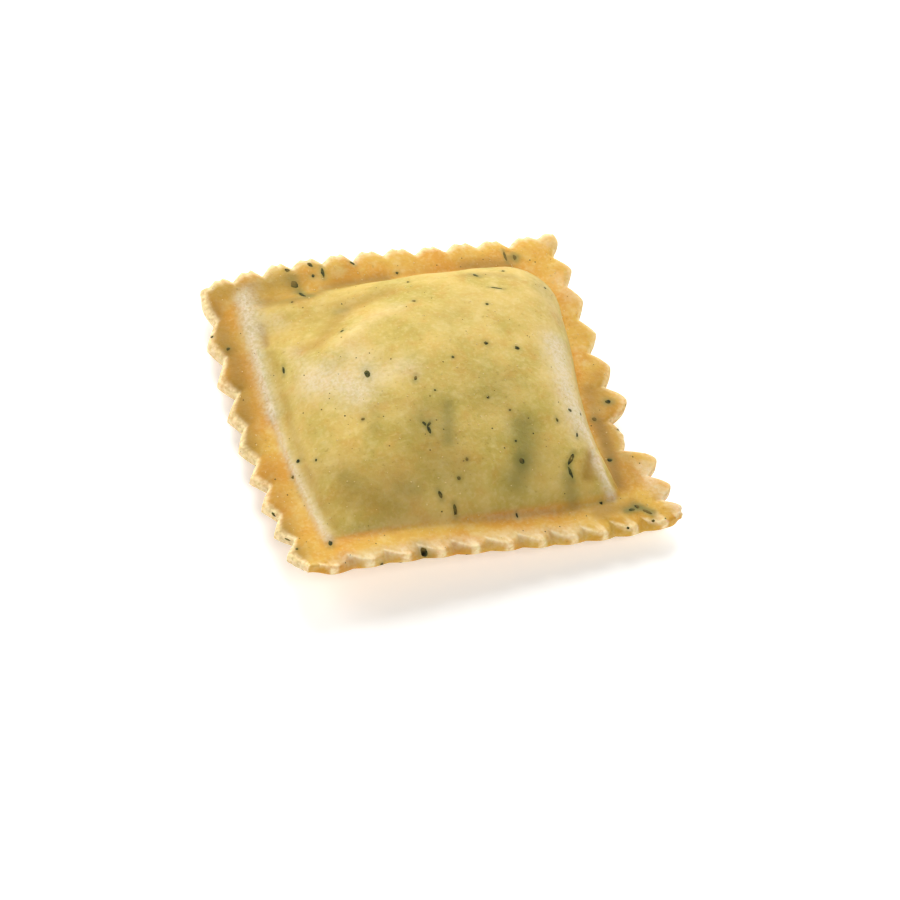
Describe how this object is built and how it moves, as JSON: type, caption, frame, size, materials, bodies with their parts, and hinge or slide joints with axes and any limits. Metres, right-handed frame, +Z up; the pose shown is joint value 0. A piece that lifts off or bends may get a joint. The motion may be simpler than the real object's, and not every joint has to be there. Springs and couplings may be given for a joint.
{
  "type": "ravioli",
  "caption": "Square filled pasta parcel: a domed pillow on a flattened belly, inside a pressed rim with a fluted, cut edge.",
  "frame": {"origin": "middle of the outline, on the table that the parcel lies on", "axes": "+Z up, away from the table; +X from the left flank to the right flank, along the near edge; +Y from the near edge to the far edge"},
  "size_m": [0.0554, 0.0554, 0.0135],
  "materials": {
    "herbed_dough": "satin, lightly floured egg pasta dough with dark green herb flecks"
  },
  "bodies": {
    "root": {"raviolo": "herbed_dough"}
  },
  "joints": []
}
